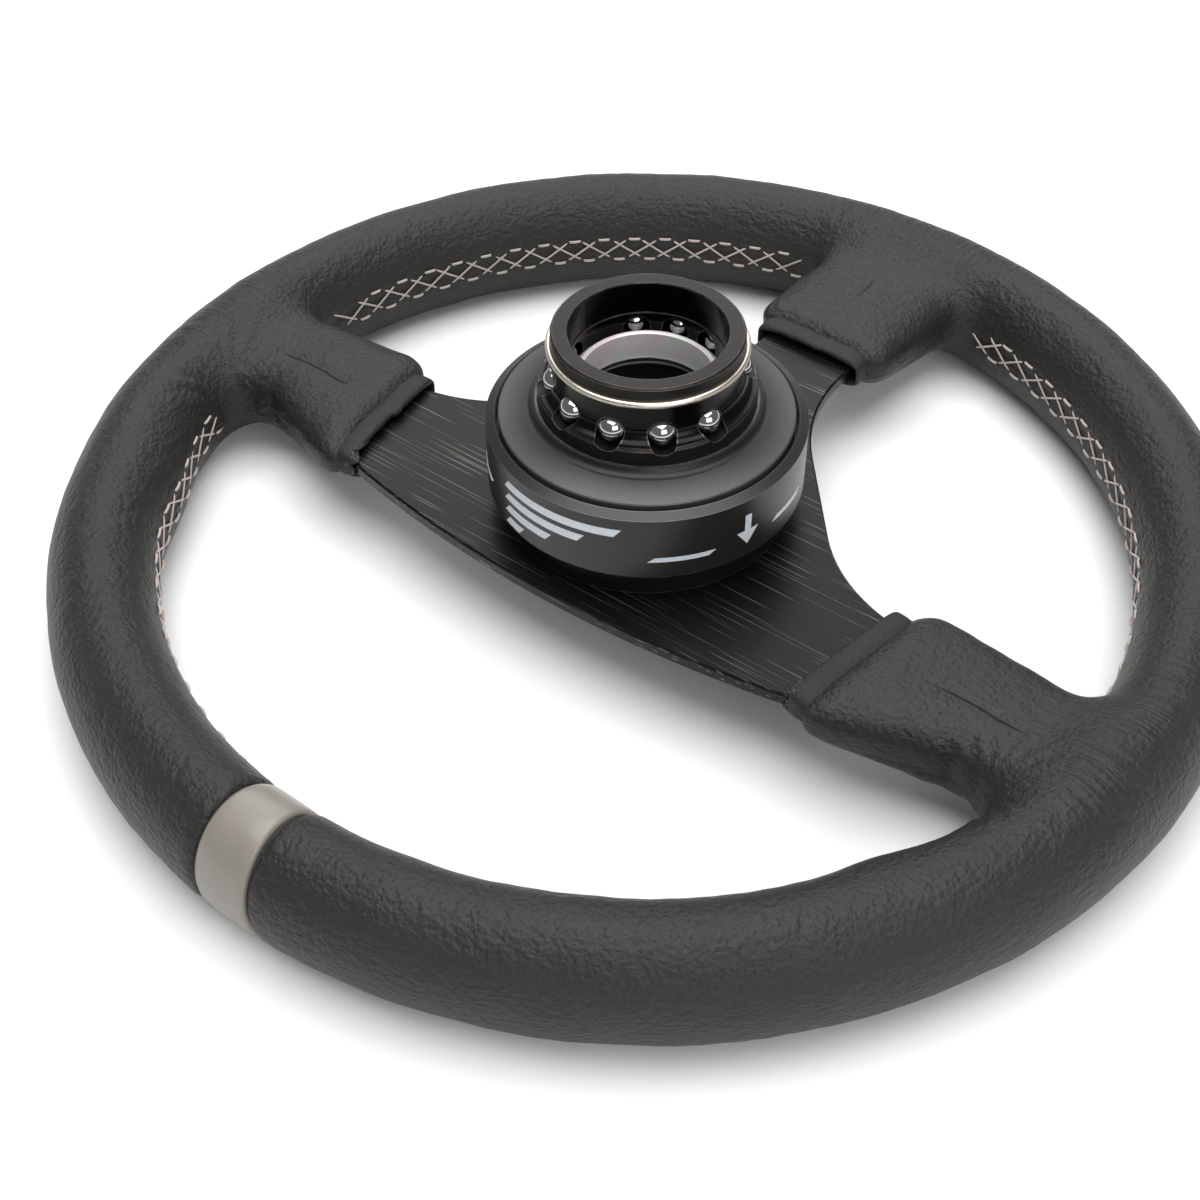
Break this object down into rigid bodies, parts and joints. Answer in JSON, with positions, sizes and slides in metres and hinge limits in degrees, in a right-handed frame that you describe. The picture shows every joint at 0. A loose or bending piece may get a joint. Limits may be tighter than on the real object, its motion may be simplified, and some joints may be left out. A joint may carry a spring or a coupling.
{
  "type": "quick release steering wheel",
  "caption": "Round leather motorsport steering wheel with flat metal spokes and the wheel half of a ball-lock quick release on its back.",
  "frame": {"origin": "on the steering axis, at the height of the rim's lowest face with the wheel lying face down", "axes": "+Z along the steering axis towards the column, +Y towards the 12 o'clock marker, +X towards the side spoke that makes a right-handed frame"},
  "size_m": [0.35, 0.3498, 0.0896],
  "materials": {
    "grip_leather": "matte pebbled",
    "marker_leather": "smooth satin",
    "rim_foam": "moulded",
    "hoop_metal": "as drawn",
    "plate_black": "brushed black anodised",
    "hub_black": "satin black anodised",
    "collar_black": "fine satin black anodised",
    "wire_steel": "satin champagne",
    "sleeve_steel": "fine turned",
    "ball_chrome": "polished",
    "spring_steel": "plain",
    "screw_black": "black oxide",
    "horn_plastic": "fine grain",
    "brass": "plain",
    "thread": "waxed thread"
  },
  "bodies": {
    "wheel": {"spoke_plate": "plate_black", "rim_hoop": "hoop_metal", "rim_foam": "rim_foam", "rim_leather_upper_right": "grip_leather", "rim_leather_upper_left": "grip_leather", "rim_leather_lower_left": "grip_leather", "rim_leather_lower_right": "grip_leather", "marker_band": "marker_leather", "rim_stitching": "thread", "spoke_boot_right": "grip_leather", "spoke_boot_left": "grip_leather", "spoke_boot_lower": "grip_leather", "nose_body": "hub_black", "nose_wire_ring": "wire_steel", "cap_ring": "collar_black", "collar_spring": "spring_steel", "horn_ring": "hub_black", "hub_screws": "screw_black", "horn_housing": "horn_plastic", "horn_terminals": "brass", "horn_spring": "spring_steel"},
    "collar": {"release_collar": "collar_black", "locking_sleeve": "sleeve_steel", "sleeve_snap_ring": "spring_steel", "link_pins": "spring_steel"},
    "horn_button": {"horn_button": "horn_plastic", "horn_contact_disc": "brass"},
    "ball_01": {"lock_ball_01": "ball_chrome"},
    "ball_02": {"lock_ball_02": "ball_chrome"},
    "ball_03": {"lock_ball_03": "ball_chrome"},
    "ball_04": {"lock_ball_04": "ball_chrome"},
    "ball_05": {"lock_ball_05": "ball_chrome"},
    "ball_06": {"lock_ball_06": "ball_chrome"},
    "ball_07": {"lock_ball_07": "ball_chrome"},
    "ball_08": {"lock_ball_08": "ball_chrome"},
    "ball_09": {"lock_ball_09": "ball_chrome"},
    "ball_10": {"lock_ball_10": "ball_chrome"}
  },
  "joints": [
    {"name": "collar_slide", "type": "slide", "parent": "wheel", "child": "collar", "axis": [0, 0, -1], "range_m": [0, 0.0045], "stiffness_N_per_m": 5000, "springref_m": -0.005, "deforming": ["collar_spring"]},
    {"name": "horn_button_press", "type": "slide", "parent": "wheel", "child": "horn_button", "axis": [0, 0, 1], "range_m": [0, 0.0025], "stiffness_N_per_m": 1500, "springref_m": -0.002, "deforming": ["horn_spring"]},
    {"name": "ball_01_sink", "type": "slide", "parent": "wheel", "child": "ball_01", "axis": [-0.9659, -0.2588, 0], "range_m": [0, 0.0028]},
    {"name": "ball_02_sink", "type": "slide", "parent": "wheel", "child": "ball_02", "axis": [-0.7071, -0.7071, 0], "range_m": [0, 0.0028]},
    {"name": "ball_03_sink", "type": "slide", "parent": "wheel", "child": "ball_03", "axis": [-0.2588, -0.9659, 0], "range_m": [0, 0.0028]},
    {"name": "ball_04_sink", "type": "slide", "parent": "wheel", "child": "ball_04", "axis": [0.2588, -0.9659, 0], "range_m": [0, 0.0028]},
    {"name": "ball_05_sink", "type": "slide", "parent": "wheel", "child": "ball_05", "axis": [0.7071, -0.7071, 0], "range_m": [0, 0.0028]},
    {"name": "ball_06_sink", "type": "slide", "parent": "wheel", "child": "ball_06", "axis": [0.9659, -0.2588, 0], "range_m": [0, 0.0028]},
    {"name": "ball_07_sink", "type": "slide", "parent": "wheel", "child": "ball_07", "axis": [0.7071, 0.7071, 0], "range_m": [0, 0.0028]},
    {"name": "ball_08_sink", "type": "slide", "parent": "wheel", "child": "ball_08", "axis": [0.2588, 0.9659, 0], "range_m": [0, 0.0028]},
    {"name": "ball_09_sink", "type": "slide", "parent": "wheel", "child": "ball_09", "axis": [-0.2588, 0.9659, 0], "range_m": [0, 0.0028]},
    {"name": "ball_10_sink", "type": "slide", "parent": "wheel", "child": "ball_10", "axis": [-0.7071, 0.7071, 0], "range_m": [0, 0.0028]}
  ],
  "couplings": [
    {"joint": "ball_01_sink", "follows": "collar_slide", "ratio": 0.622},
    {"joint": "ball_02_sink", "follows": "collar_slide", "ratio": 0.622},
    {"joint": "ball_03_sink", "follows": "collar_slide", "ratio": 0.622},
    {"joint": "ball_04_sink", "follows": "collar_slide", "ratio": 0.622},
    {"joint": "ball_05_sink", "follows": "collar_slide", "ratio": 0.622},
    {"joint": "ball_06_sink", "follows": "collar_slide", "ratio": 0.622},
    {"joint": "ball_07_sink", "follows": "collar_slide", "ratio": 0.622},
    {"joint": "ball_08_sink", "follows": "collar_slide", "ratio": 0.622},
    {"joint": "ball_09_sink", "follows": "collar_slide", "ratio": 0.622},
    {"joint": "ball_10_sink", "follows": "collar_slide", "ratio": 0.622}
  ]
}
